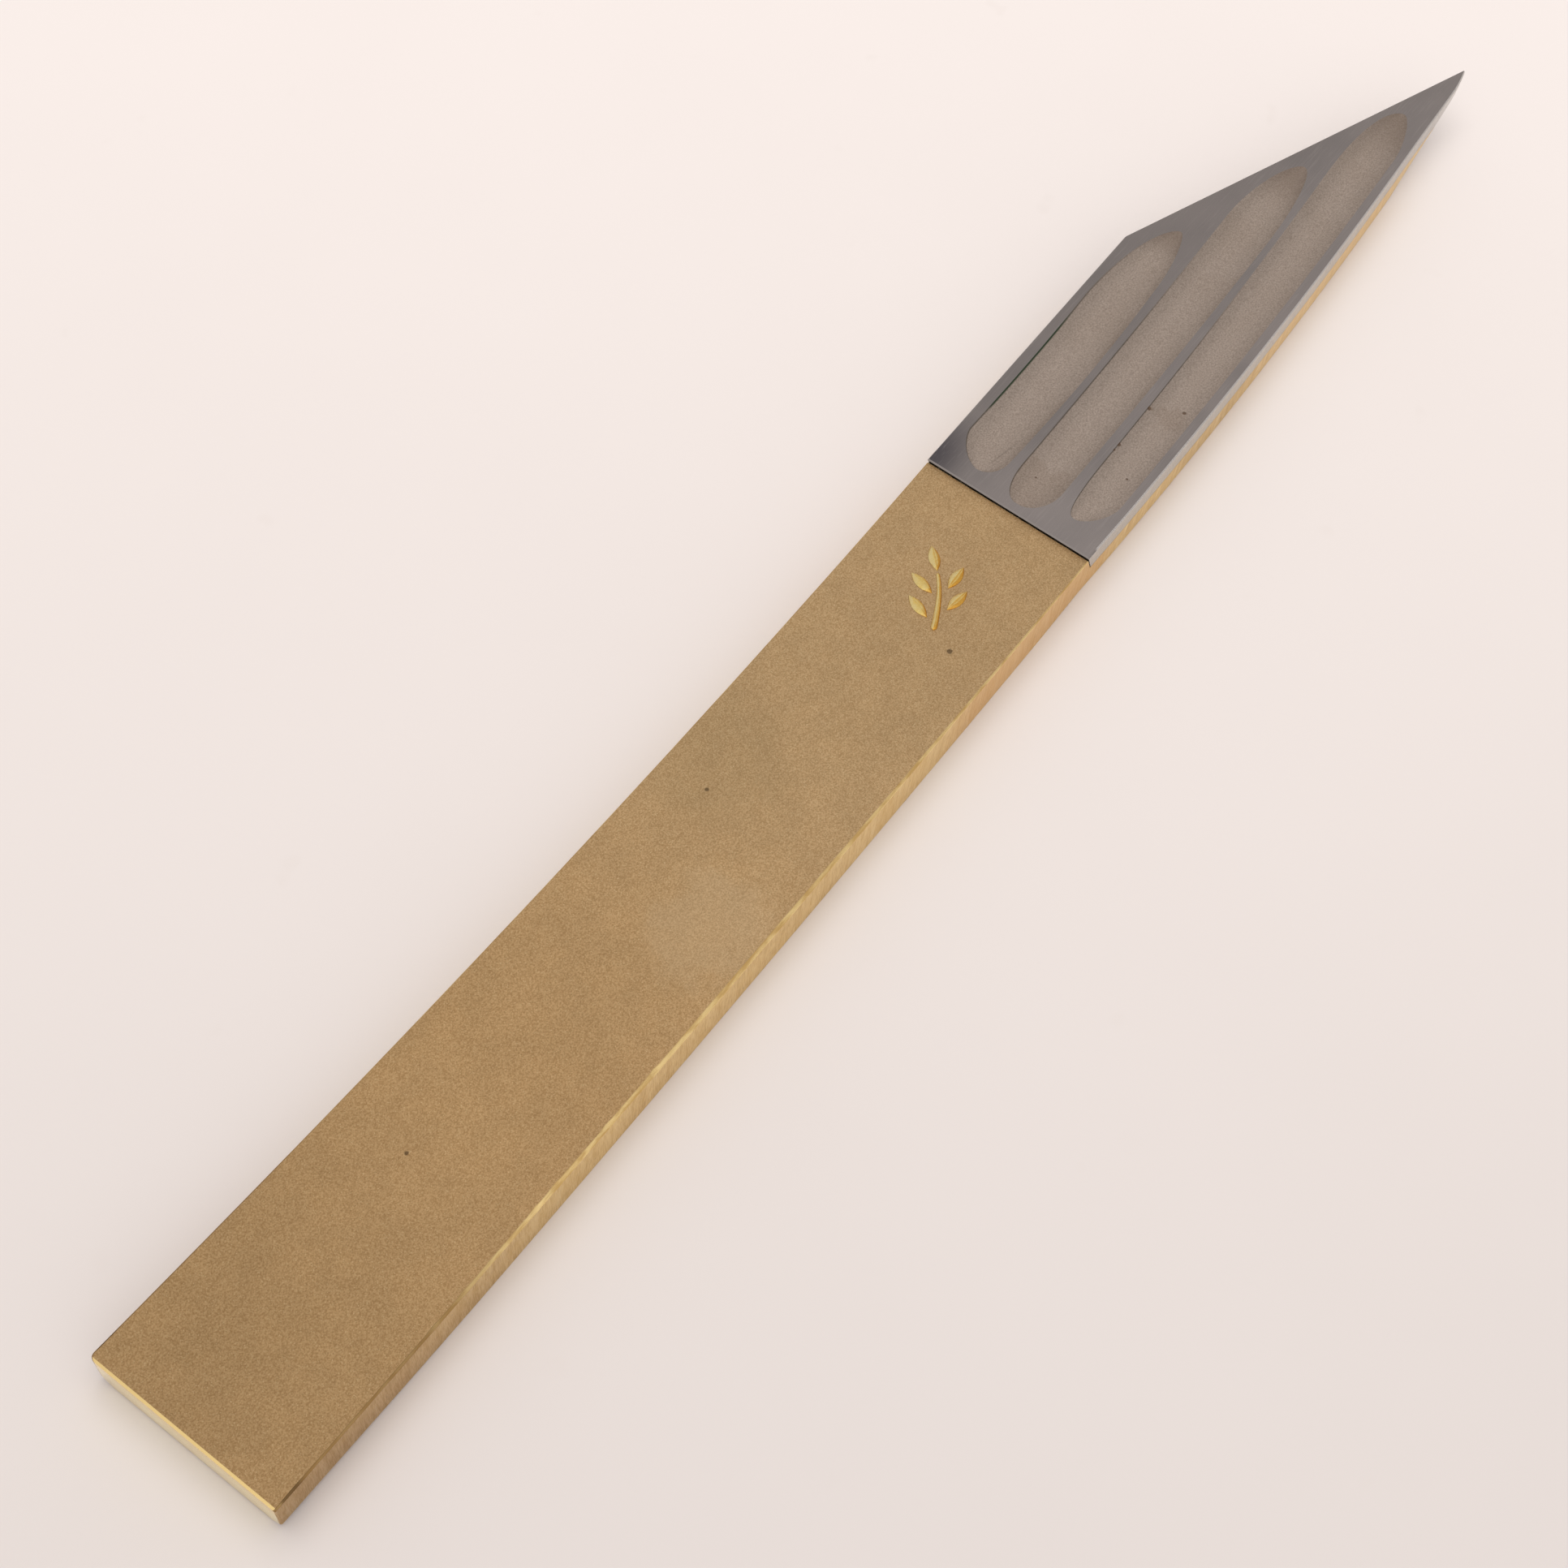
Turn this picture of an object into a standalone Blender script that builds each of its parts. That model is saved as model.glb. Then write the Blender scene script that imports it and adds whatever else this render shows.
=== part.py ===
"""Skew skiving knife: a brass bar let in with a hollow-ground steel blade.

The knife lies on its back, its flat hollow-ground face up. Design coordinates
start at the middle of the tail end: x runs along the knife to the tip, y to the
left side as seen from the tail, and z up from the surface the knife rests on.
The model is then centred on its bounding box, so +X stays the long direction.
"""

import math

import bmesh
import bpy
from mathutils import Matrix, Vector

MM = 0.001

# Driving dimensions, in metres.
LENGTH = 185.0 * MM
BRASS_THICKNESS = 4.75 * MM
STEEL_TOP = 5.2 * MM
STEEL_BOTTOM = 3.0 * MM
JOINT_X = 106.4 * MM
EDGE_BREAK = 0.2 * MM
STEEL_EDGE_BREAK = 0.12 * MM
CORNER_RADIUS = 0.5 * MM

# Left side: a shallow waist along the handle, then a straight flare to the heel.
WAIST_X = 57.0 * MM
WAIST_Y = 8.17 * MM
WAIST_CURVATURE = 0.32
HEEL_X = 141.65 * MM
HEEL_Y = 9.755 * MM

# Right side: a shallow belly along the handle, then an arc towards the tip. The
# sharp point lies a little beyond the tip that its broken edge leaves.
BELLY_X = 49.0 * MM
BELLY_Y = -9.24 * MM
BELLY_CURVATURE = 0.115
ARC_START_X = 111.0 * MM
ARC_START_Y = -8.9 * MM
ARC_CURVATURE = 0.625
ARC_END_X = 172.0 * MM
NOSE_START_X = 181.0 * MM
POINT_X = 185.2 * MM
POINT_Y = -5.3 * MM

# The single bevel ground under the blade, through steel and brass.
BEVEL_ANGLE = math.radians(35.0)

# The let-in seat for the steel, and the solder that fills it.
SHOULDER_LEAN = math.radians(24.0)
SEAT_GAP = 0.3 * MM
SOLDER_CLEARANCE = 0.05 * MM
SOLDER_TOP = 4.6 * MM

# Hollow grinds in the steel face, in millimetres: rear and front points, then for
# each rim its y at the rear and at the front, its sideways bow, the length and
# fullness of its rounded rear end, and the same for its front end.
HOLLOW_DEPTH = 0.35 * MM
HOLLOWS = {
    "near_heel": {
        "rear": (108.4, 4.8),
        "front": (145.9, 5.8),
        "right": (2.90, 4.51, -0.68, 2.4, 2.0, 7.2, 2.0),
        "left": (8.03, 9.67, -0.48, 3.75, 1.6, 13.2, 1.6),
    },
    "middle": {
        "rear": (107.45, -0.35),
        "front": (161.7, 0.8),
        "right": (-3.01, -1.05, -0.31, 3.7, 2.0, 12.2, 2.3),
        "left": (1.76, 4.01, -0.26, 4.6, 2.4, 10.5, 1.56),
    },
    "near_spine": {
        "rear": (109.35, -5.4),
        "front": (175.05, -3.5),
        "right": (-8.04, -5.45, -0.51, 3.7, 1.6, 6.4, 1.67),
        "left": (-4.0, -0.34, -0.64, 9.0, 3.0, 13.0, 1.93),
    },
}

# Sprig ornament inlaid in gold near the joint: leaf positions along and across
# the knife from the ornament's centre, and each leaf's direction in degrees.
ORNAMENT_X = 95.0 * MM
ORNAMENT_Y = 0.0 * MM
INLAY_DEPTH = 0.3 * MM
INLAY_PROUD = 0.12 * MM
INLAY_CLEARANCE = 0.05 * MM
LEAF_LENGTH = 2.8 * MM
LEAF_WIDTH = 1.05 * MM
STEM_WIDTH = 0.62 * MM
STEM_POINTS = [(-3.6, -2.2), (-1.4, -1.25), (0.5, -0.2), (1.75, 1.05)]
LEAVES = {
    "inlay_leaf_tip": (2.9, 2.2, 46.0),
    "inlay_leaf_upper_left": (-0.05, 1.55, 76.0),
    "inlay_leaf_upper_right": (2.35, -0.55, 4.0),
    "inlay_leaf_lower_left": (-2.35, 0.35, 70.0),
    "inlay_leaf_lower_right": (0.35, -2.05, -6.0),
}

# The model is centred on its bounding box.
CENTRE_X = LENGTH / 2
CENTRE_Y = (HEEL_Y + BELLY_Y) / 2
FULL_WIDTH = HEEL_Y - BELLY_Y
CUT_MARGIN = 3.0 * MM


def clear_scene():
    for item in list(bpy.data.objects):
        bpy.data.objects.remove(item, do_unlink=True)


def make_collection(name):
    collection = bpy.data.collections.new(name)
    bpy.context.scene.collection.children.link(collection)
    return collection


def make_material(name, color, metallic, roughness):
    material = bpy.data.materials.new(name)
    material.use_nodes = True
    shader = material.node_tree.nodes["Principled BSDF"]
    shader.inputs["Base Color"].default_value = (*color, 1.0)
    shader.inputs["Metallic"].default_value = metallic
    shader.inputs["Roughness"].default_value = roughness
    material.diffuse_color = (*color, 1.0)
    return material


# ---------------------------------------------------------------- outlines


def left_edge(x):
    """Left side of the knife: the waist as a parabola, then the flare."""
    if x <= JOINT_X:
        return WAIST_Y + WAIST_CURVATURE * (x - WAIST_X) ** 2
    joint_y = WAIST_Y + WAIST_CURVATURE * (JOINT_X - WAIST_X) ** 2
    slope = (HEEL_Y - joint_y) / (HEEL_X - JOINT_X)
    return joint_y + slope * (x - JOINT_X)


def right_edge(x):
    """Right side: the belly, a short straight, the arc, a straight, and the nose."""
    if x <= JOINT_X:
        return BELLY_Y + BELLY_CURVATURE * (x - BELLY_X) ** 2
    if x <= ARC_START_X:
        joint_y = right_edge(JOINT_X)
        return joint_y + (ARC_START_Y - joint_y) * (x - JOINT_X) / (ARC_START_X - JOINT_X)
    if x <= ARC_END_X:
        return ARC_START_Y + ARC_CURVATURE * (x - ARC_START_X) ** 2
    arc_end_y = ARC_START_Y + ARC_CURVATURE * (ARC_END_X - ARC_START_X) ** 2
    slope = 0.85 * 2 * ARC_CURVATURE * (ARC_END_X - ARC_START_X)
    y = arc_end_y + slope * (x - ARC_END_X)
    if x > NOSE_START_X:
        nose = (x - NOSE_START_X) / (POINT_X - NOSE_START_X)
        straight_y = arc_end_y + slope * (POINT_X - ARC_END_X)
        y += (POINT_Y - straight_y) * nose ** 2
    return y


def spaced(start, stop, count):
    return [start + (stop - start) * i / (count - 1) for i in range(count)]


def knife_outline(inset=0.0):
    """Plan of the knife, run on past the cutting edge so the bevel can trim it."""
    past = CUT_MARGIN
    handle = spaced(CORNER_RADIUS, JOINT_X, 18)
    arc = spaced(ARC_START_X, ARC_END_X, 22)
    nose = spaced(NOSE_START_X, POINT_X, 7)
    outline = [(inset, left_edge(0) - CORNER_RADIUS)]
    outline += [(x, left_edge(x) - inset) for x in handle]
    outline.append((HEEL_X + past, left_edge(HEEL_X + past) - inset))
    outline.append((POINT_X + past, POINT_Y + 0.6 * past + inset))
    outline += [(x, right_edge(x) + inset) for x in reversed(handle + arc + nose)]
    outline.append((inset, right_edge(0) + CORNER_RADIUS))
    return outline


# ------------------------------------------------------------ solid builders


def link(item, collection):
    collection.objects.link(item)
    return item


def place(x, y, z=0.0):
    """A design point, moved to the frame centred on the bounding box."""
    return Vector((x - CENTRE_X, y - CENTRE_Y, z))


def outline_curve(name, points, z_low, z_high):
    """A closed flat outline extruded between two heights, as a curve."""
    curve = bpy.data.curves.new(name, "CURVE")
    curve.dimensions = "2D"
    curve.fill_mode = "BOTH"
    curve.extrude = (z_high - z_low) / 2
    spline = curve.splines.new("POLY")
    spline.points.add(len(points) - 1)
    for point, (x, y) in zip(spline.points, points):
        spot = place(x, y)
        point.co = (spot.x, spot.y, 0.0, 1.0)
    spline.use_cyclic_u = True
    item = bpy.data.objects.new(name, curve)
    item.location = (0.0, 0.0, (z_high + z_low) / 2)
    return item


def solid_from_curve(name, curve_object, collection):
    """Turn a filled curve into a welded mesh object and drop the curve."""
    bpy.context.scene.collection.objects.link(curve_object)
    bpy.context.view_layer.update()
    graph = bpy.context.evaluated_depsgraph_get()
    mesh = bpy.data.meshes.new_from_object(curve_object.evaluated_get(graph))
    placed = curve_object.matrix_world.copy()
    bpy.data.objects.remove(curve_object, do_unlink=True)
    shape = bmesh.new()
    shape.from_mesh(mesh)
    bmesh.ops.remove_doubles(shape, verts=shape.verts, dist=1e-7)
    # Each flat cap becomes one face, so that a bevel has room at its corners.
    bmesh.ops.dissolve_limit(shape, angle_limit=0.002, verts=shape.verts, edges=shape.edges)
    bmesh.ops.recalc_face_normals(shape, faces=shape.faces)
    shape.to_mesh(mesh)
    shape.free()
    mesh.name = name
    item = bpy.data.objects.new(name, mesh)
    item.matrix_world = placed
    return link(item, collection)


def plate(name, points, z_low, z_high, collection):
    return solid_from_curve(name, outline_curve(name, points, z_low, z_high), collection)


def box_cutter(name, size, matrix, collection):
    """A box whose scale is held in its mesh, placed by a matrix."""
    shape = bmesh.new()
    bmesh.ops.create_cube(shape, size=1.0)
    bmesh.ops.scale(shape, vec=size, verts=shape.verts)
    mesh = bpy.data.meshes.new(name)
    shape.to_mesh(mesh)
    shape.free()
    item = bpy.data.objects.new(name, mesh)
    item.matrix_world = matrix
    return as_cutter(link(item, collection))


def as_cutter(item):
    item.hide_render = True
    item.display_type = "WIRE"
    return item


def add_boolean(item, cutter, operation="DIFFERENCE"):
    modifier = item.modifiers.new(f"{operation.lower()}_{cutter.name}", "BOOLEAN")
    modifier.operation = operation
    modifier.solver = "EXACT"
    modifier.object = cutter


def add_edge_break(item, width, rims):
    """Bevel the rims of a plate: its top edge (1), its bottom edge (-1), or both."""
    mesh = item.data
    weights = mesh.attributes.new("bevel_weight_edge", "FLOAT", "EDGE")
    for edge in mesh.edges:
        heights = [mesh.vertices[i].co.z for i in edge.vertices]
        level = abs(heights[0] - heights[1]) < EDGE_BREAK / 100
        if level and math.copysign(1, heights[0]) in rims:
            weights.data[edge.index].value = 1.0
    modifier = item.modifiers.new("edge_break", "BEVEL")
    modifier.width = width
    modifier.segments = 1
    modifier.limit_method = "WEIGHT"


# ------------------------------------------------------------------ cutters


def bevel_cutter(collection):
    """Everything below the bevel plane, which holds the cutting edge."""
    heel = place(HEEL_X, HEEL_Y, STEEL_TOP)
    tip = place(POINT_X, POINT_Y, STEEL_TOP)
    along = (tip - heel).normalized()
    outward = Vector((-along.y, along.x, 0.0))
    up = Vector((0.0, 0.0, 1.0))
    away = outward * math.sin(BEVEL_ANGLE) - up * math.cos(BEVEL_ANGLE)
    size = Vector((120.0, 60.0, 20.0)) * MM
    centre = (heel + tip) / 2 + away * size.z / 2
    across = away.cross(along)
    turned = Matrix((along, across, away)).transposed().to_4x4()
    return box_cutter("bevel_cutter", size, Matrix.Translation(centre) @ turned, collection)


def rear_line(z):
    """Where the steel's leaning rear face stands at a height."""
    return JOINT_X + (STEEL_TOP - z) * math.tan(SHOULDER_LEAN)


def seat_profile(floor_z, set_back, top_z):
    """Side view of the space for the steel: leaning shoulder, then the floor."""
    shift = set_back / math.cos(SHOULDER_LEAN)
    front = POINT_X + 4 * CUT_MARGIN
    return [
        (rear_line(floor_z) - shift, floor_z),
        (front, floor_z),
        (front, top_z),
        (rear_line(top_z) - shift, top_z),
    ]


def side_prism(name, profile, collection):
    """A side profile carried right across the knife."""
    curve = bpy.data.curves.new(name, "CURVE")
    curve.dimensions = "2D"
    curve.fill_mode = "BOTH"
    curve.extrude = FULL_WIDTH
    spline = curve.splines.new("POLY")
    spline.points.add(len(profile) - 1)
    for point, (x, z) in zip(spline.points, profile):
        point.co = (x - CENTRE_X, z, 0.0, 1.0)
    spline.use_cyclic_u = True
    item = bpy.data.objects.new(name, curve)
    item.rotation_euler = (math.radians(90), 0.0, 0.0)
    return as_cutter(solid_from_curve(name, item, collection))


def rounded_end(t, fullness):
    """Rise from 0 to 1 round a quarter of a superellipse."""
    t = min(max(t, 0.0), 1.0)
    return (1 - (1 - t) ** fullness) ** (1 / fullness)


def rim_line(x, spec, side):
    """One rim of a hollow grind: a bowed line that rounds off into both ends."""
    rear_x, rear_y = spec["rear"]
    front_x, front_y = spec["front"]
    rim_rear_y, rim_front_y, bow, rear_run, rear_fullness, front_run, front_fullness = spec[side]
    t = (x - rear_x) / (front_x - rear_x)
    middle = rim_rear_y + (rim_front_y - rim_rear_y) * t + bow * 4 * t * (1 - t)
    if t < 0.5:
        share = rounded_end((x - rear_x) / rear_run, rear_fullness)
        return rear_y + (middle - rear_y) * share
    share = rounded_end((front_x - x) / front_run, front_fullness)
    return front_y + (middle - front_y) * share


def hollow_cutter(name, spec, collection):
    """A boat-shaped cutter: a grid bent to the hollow's floor, then drawn upward."""
    columns = 36
    rows = 10
    reach = 1.08
    rear_x = spec["rear"][0]
    front_x = spec["front"][0]
    widths = [
        rim_line(x, spec, "left") - rim_line(x, spec, "right") for x in spaced(rear_x, front_x, 40)
    ]
    shape = bmesh.new()
    bmesh.ops.create_grid(shape, x_segments=columns, y_segments=rows, size=1.0)
    for vertex in shape.verts:
        across = vertex.co.y * reach
        # Columns crowd towards both round ends, and stop just short of the points.
        along = (1 - math.cos(math.pi * (0.5 + 0.485 * vertex.co.x))) / 2
        x = rear_x + (front_x - rear_x) * along
        left = rim_line(x, spec, "left")
        right = rim_line(x, spec, "right")
        y = (left + right) / 2 + across * (left - right) / 2
        depth = HOLLOW_DEPTH * ((left - right) / max(widths)) ** 1.6 * (1 - across ** 2)
        spot = place(x * MM, y * MM)
        vertex.co = (spot.x, spot.y, STEEL_TOP - depth)
    drawn = bmesh.ops.extrude_face_region(shape, geom=shape.faces[:])
    lifted = [part for part in drawn["geom"] if isinstance(part, bmesh.types.BMVert)]
    for vertex in lifted:
        vertex.co.z = STEEL_TOP + 1.0 * MM
    bmesh.ops.recalc_face_normals(shape, faces=shape.faces)
    mesh = bpy.data.meshes.new(name)
    shape.to_mesh(mesh)
    shape.free()
    return as_cutter(link(bpy.data.objects.new(name, mesh), collection))


# ----------------------------------------------------------------- ornament


def leaf_outline(centre_x, centre_y, degrees, grow):
    """A pointed leaf from two arcs, turned to its direction."""
    half_length = LEAF_LENGTH / 2 + grow
    half_width = LEAF_WIDTH / 2 + grow
    turn = math.radians(degrees)
    points = []
    for side in (1, -1):
        for step in range(8):
            t = -side + 2 * side * step / 8
            along = t * half_length
            across = -side * half_width * (1 - t * t)
            x = along * math.cos(turn) - across * math.sin(turn)
            y = along * math.sin(turn) + across * math.cos(turn)
            points.append((ORNAMENT_X + centre_x + x, ORNAMENT_Y + centre_y + y))
    return points


def stem_outline(grow):
    """A curved stem, thickest at its foot, tapering towards the tip leaf."""
    steps = 12
    left = []
    right = []
    for i in range(steps + 1):
        t = i / steps
        spot = bezier(STEM_POINTS, t)
        ahead = bezier(STEM_POINTS, t + 0.01)
        heading = math.atan2(ahead[1] - spot[1], ahead[0] - spot[0])
        half = STEM_WIDTH / 2 * (1 - 0.45 * t) + grow
        end_shift = (grow if i == steps else -grow if i == 0 else 0.0) * 1.5
        x = ORNAMENT_X + spot[0] * MM + end_shift * math.cos(heading)
        y = ORNAMENT_Y + spot[1] * MM + end_shift * math.sin(heading)
        left.append((x - half * math.sin(heading), y + half * math.cos(heading)))
        right.append((x + half * math.sin(heading), y - half * math.cos(heading)))
    return left + list(reversed(right))


def bezier(points, t):
    a, b, c, d = points
    s = 1 - t
    weights = (s ** 3, 3 * s * s * t, 3 * s * t * t, t ** 3)
    x = sum(w * p[0] for w, p in zip(weights, (a, b, c, d)))
    y = sum(w * p[1] for w, p in zip(weights, (a, b, c, d)))
    return x, y


def ornament_outlines(grow):
    outlines = {"inlay_stem": stem_outline(grow)}
    for name, (along, across, degrees) in LEAVES.items():
        outlines[name] = leaf_outline(along * MM, across * MM, degrees, grow)
    return outlines


# ----------------------------------------------------------------- subparts


def build_brass_body(parts, cutters, bevel):
    """The full-length brass bar: handle, seat for the steel, and blade backing."""
    body = plate("brass_body", knife_outline(), 0.0, BRASS_THICKNESS, parts)
    add_edge_break(body, EDGE_BREAK, (1, -1))
    floor = STEEL_BOTTOM - SEAT_GAP
    seat = side_prism("seat_cutter", seat_profile(floor, SEAT_GAP, 3 * STEEL_TOP), cutters)
    add_boolean(body, seat)
    add_boolean(body, bevel)
    pocket_floor = BRASS_THICKNESS - INLAY_DEPTH - INLAY_CLEARANCE
    for name, points in ornament_outlines(INLAY_CLEARANCE).items():
        pocket = plate(f"pocket_{name}", points, pocket_floor, STEEL_TOP, cutters)
        add_boolean(body, as_cutter(pocket))
    body.data.materials.append(make_material("brass", (0.50, 0.36, 0.15), 1.0, 0.45))
    return body


def build_steel_blade(parts, cutters, bevel):
    """The hard steel plate: leaning rear face, three hollow grinds, one bevel."""
    blade = plate("steel_blade", knife_outline(), STEEL_BOTTOM, STEEL_TOP, parts)
    add_edge_break(blade, STEEL_EDGE_BREAK, (1,))
    add_boolean(blade, side_prism("rear_cutter", rear_cut_profile(), cutters))
    add_boolean(blade, bevel)
    for name, spec in HOLLOWS.items():
        add_boolean(blade, hollow_cutter(f"hollow_{name}", spec, cutters))
    blade.data.materials.append(make_material("tool_steel", (0.32, 0.31, 0.30), 1.0, 0.35))
    return blade


def rear_cut_profile():
    """Side view of what is cut off the steel blank behind its rear face."""
    low = -STEEL_TOP
    high = 3 * STEEL_TOP
    break_z = STEEL_TOP - STEEL_EDGE_BREAK
    return [
        (-JOINT_X, low),
        (rear_line(low), low),
        (rear_line(break_z), break_z),
        (rear_line(break_z) + high - break_z, high),
        (-JOINT_X, high),
    ]


def build_solder_seam(parts, cutters, bevel):
    """The solder between steel and brass, up the shoulder and along the seat."""
    low = STEEL_BOTTOM - SEAT_GAP + SOLDER_CLEARANCE
    high = STEEL_BOTTOM - SOLDER_CLEARANCE
    back = (SEAT_GAP - SOLDER_CLEARANCE) / math.cos(SHOULDER_LEAN)
    face = SOLDER_CLEARANCE / math.cos(SHOULDER_LEAN)
    front = POINT_X + 4 * CUT_MARGIN
    profile = [
        (rear_line(low) - back, low),
        (front, low),
        (front, high),
        (rear_line(high) - face, high),
        (rear_line(SOLDER_TOP) - face, SOLDER_TOP),
        (rear_line(SOLDER_TOP) - back, SOLDER_TOP),
    ]
    outline = knife_outline(SOLDER_CLEARANCE)
    seam = plate("solder_seam", outline, low - EDGE_BREAK, SOLDER_TOP + EDGE_BREAK, parts)
    add_boolean(seam, side_prism("seam_limits", profile, cutters), "INTERSECT")
    add_boolean(seam, bevel)
    seam.data.materials.append(make_material("solder", (0.42, 0.40, 0.33), 1.0, 0.4))
    return seam


def build_ornament(parts):
    """Gold pieces of the sprig, each set in its own pocket."""
    gold = make_material("gold_inlay", (0.83, 0.60, 0.18), 1.0, 0.3)
    low = BRASS_THICKNESS - INLAY_DEPTH
    high = BRASS_THICKNESS + INLAY_PROUD
    for name, points in ornament_outlines(0.0).items():
        piece = plate(name, points, low, high, parts)
        piece.data.materials.append(gold)


def main():
    clear_scene()
    parts = make_collection("skiving_knife")
    cutters = make_collection("cutters")
    bevel = bevel_cutter(cutters)
    build_brass_body(parts, cutters, bevel)
    build_steel_blade(parts, cutters, bevel)
    build_solder_seam(parts, cutters, bevel)
    build_ornament(parts)


main()
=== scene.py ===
"""Looks for the skew skiving knife: fine meshes and metal finishes around the CAD frame.

Design coordinates, in millimetres, start at the middle of the tail end: x runs to
the blade's tip, y to the left side seen from the tail, and z up from the table.
"""

import math

import bmesh
import bpy
from mathutils import Matrix, Vector, noise


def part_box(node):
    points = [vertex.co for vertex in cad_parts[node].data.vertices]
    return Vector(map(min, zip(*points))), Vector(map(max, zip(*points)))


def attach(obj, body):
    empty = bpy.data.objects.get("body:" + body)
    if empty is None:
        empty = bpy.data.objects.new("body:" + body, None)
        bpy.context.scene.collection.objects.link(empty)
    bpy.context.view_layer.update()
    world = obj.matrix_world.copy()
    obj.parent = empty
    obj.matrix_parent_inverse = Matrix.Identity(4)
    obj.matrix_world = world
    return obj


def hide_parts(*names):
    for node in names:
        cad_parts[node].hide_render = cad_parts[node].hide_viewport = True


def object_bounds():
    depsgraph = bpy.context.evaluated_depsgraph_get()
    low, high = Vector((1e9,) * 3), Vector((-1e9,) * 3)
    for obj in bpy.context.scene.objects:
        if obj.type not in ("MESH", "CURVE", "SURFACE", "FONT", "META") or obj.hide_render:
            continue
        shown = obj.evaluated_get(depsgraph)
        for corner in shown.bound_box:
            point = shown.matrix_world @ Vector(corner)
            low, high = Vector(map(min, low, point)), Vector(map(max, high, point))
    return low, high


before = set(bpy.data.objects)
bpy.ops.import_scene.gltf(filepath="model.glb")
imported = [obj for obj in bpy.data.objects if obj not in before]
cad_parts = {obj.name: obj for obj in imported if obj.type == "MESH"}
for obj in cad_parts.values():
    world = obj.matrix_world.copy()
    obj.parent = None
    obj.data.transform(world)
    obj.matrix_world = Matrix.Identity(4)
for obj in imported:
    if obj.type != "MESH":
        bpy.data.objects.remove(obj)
CAD_LOW, CAD_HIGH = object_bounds()

# ------------------------------------------------------------------ sizes
# Millimetres. Heights and places come from the frame; plan curves repeat the CAD's.

MM = 0.001
BELLY_Y = -9.24
TAIL_X = CAD_LOW.x / MM
AXIS_Y = CAD_LOW.y / MM - BELLY_Y
BRASS_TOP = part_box("brass_body")[1].z / MM
STEEL_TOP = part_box("steel_blade")[1].z / MM
STEEL_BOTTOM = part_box("steel_blade")[0].z / MM

# Joint: where the steel ends, the lean of its rear face, and the gaps the solder fills.
JOINT_X = 106.4
SHOULDER_LEAN = math.radians(24.0)
JOINT_GAP = 0.13
SEAT_FILM = 0.03
SOLDER_TOP = 4.58

# Plan: the left side's waist and heel, then the right side's belly, arc and nose.
WAIST_X = 57.0
WAIST_Y = 8.17
WAIST_CURVATURE = 3.2e-4
HEEL = (141.65, 9.755)
BELLY_X = 49.0
BELLY_CURVATURE = 1.15e-4
ARC_START = (111.0, -8.9)
ARC_CURVATURE = 6.25e-4
ARC_END_X = 172.0
NOSE_START_X = 181.0
NOSE_SLOPE_SHARE = 0.85
POINT = (185.2, -5.3)
BEVEL_ANGLE = math.radians(35.0)

# Edges: breadths of the bevels that break them, and how round their corners are.
EDGE_SOFTNESS = 0.03
TAIL_CORNER_LEFT = 0.5
TAIL_CORNER_RIGHT = 0.15
TAIL_CHAMFER = 0.2
STEEL_CHAMFER = 0.12
NICKS_X = (17.0, 20.4, 28.6, 31.0, 37.2, 43.1)

# Hollow grinds: rear and front points, then for each rim its y at the rear and the
# front, its bow, and the length and fullness of its rounded rear and front ends.
HOLLOW_DEPTH = 0.35
HOLLOWS = {
    "near_heel": {
        "rear": (108.4, 4.8),
        "front": (145.9, 5.8),
        "right": (2.90, 4.51, -0.68, 2.4, 2.0, 7.2, 2.0),
        "left": (8.03, 9.67, -0.48, 3.75, 1.6, 13.2, 1.6),
    },
    "middle": {
        "rear": (107.45, -0.35),
        "front": (161.7, 0.8),
        "right": (-3.01, -1.05, -0.31, 3.7, 2.0, 12.2, 2.3),
        "left": (1.76, 4.01, -0.26, 4.6, 2.4, 10.5, 1.56),
    },
    "near_spine": {
        "rear": (109.35, -5.4),
        "front": (175.05, -3.5),
        "right": (-8.04, -5.45, -0.51, 3.7, 1.6, 6.4, 1.67),
        "left": (-4.0, -0.34, -0.64, 9.0, 3.0, 13.0, 1.93),
    },
}
# Map on the hollows: -1 at the right rim to 1 at the left rim, and 0 rear to 1 front.
HOLLOW_MAP = "hollow_map"

# Sprig inlay, placed about its own centre near the joint.
ORNAMENT = (95.0, 0.0)
LEAF_LENGTH = 2.8
LEAF_WIDTH = 1.05
STEM_WIDTH = 0.62
STEM_POINTS = [(-3.6, -2.2), (-1.4, -1.25), (0.5, -0.2), (1.75, 1.05)]
LEAVES = {
    "inlay_leaf_tip": (2.9, 2.2, 46.0),
    "inlay_leaf_upper_left": (-0.05, 1.55, 76.0),
    "inlay_leaf_upper_right": (2.35, -0.55, 4.0),
    "inlay_leaf_lower_left": (-2.35, 0.35, 70.0),
    "inlay_leaf_lower_right": (0.35, -2.05, -6.0),
}
POCKET_GAP = 0.012
POCKET_DEPTH = 0.16
INLAY_EDGE_Z = 0.02
INLAY_CROWN = 0.24
THINNEST_HALF = 0.004

# Cutters reach this far to each side of the knife.
CUTTER_HALF_WIDTH = 20.0


def place(x, y, z):
    """A design point, in metres in the frame."""
    return Vector((TAIL_X + x, AXIS_Y + y, z)) * MM


def mix_value(a, b, t):
    """The value a share t of the way from a to b."""
    return a + (b - a) * t


def spaced(start, stop, count):
    """Evenly spaced values, both ends included."""
    return [mix_value(start, stop, i / (count - 1)) for i in range(count)]


def clamp01(t):
    return min(max(t, 0.0), 1.0)


def smooth_step(low, high, value):
    """Rises smoothly from 0 at low to 1 at high."""
    t = clamp01((value - low) / (high - low))
    return t * t * (3 - 2 * t)


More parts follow.
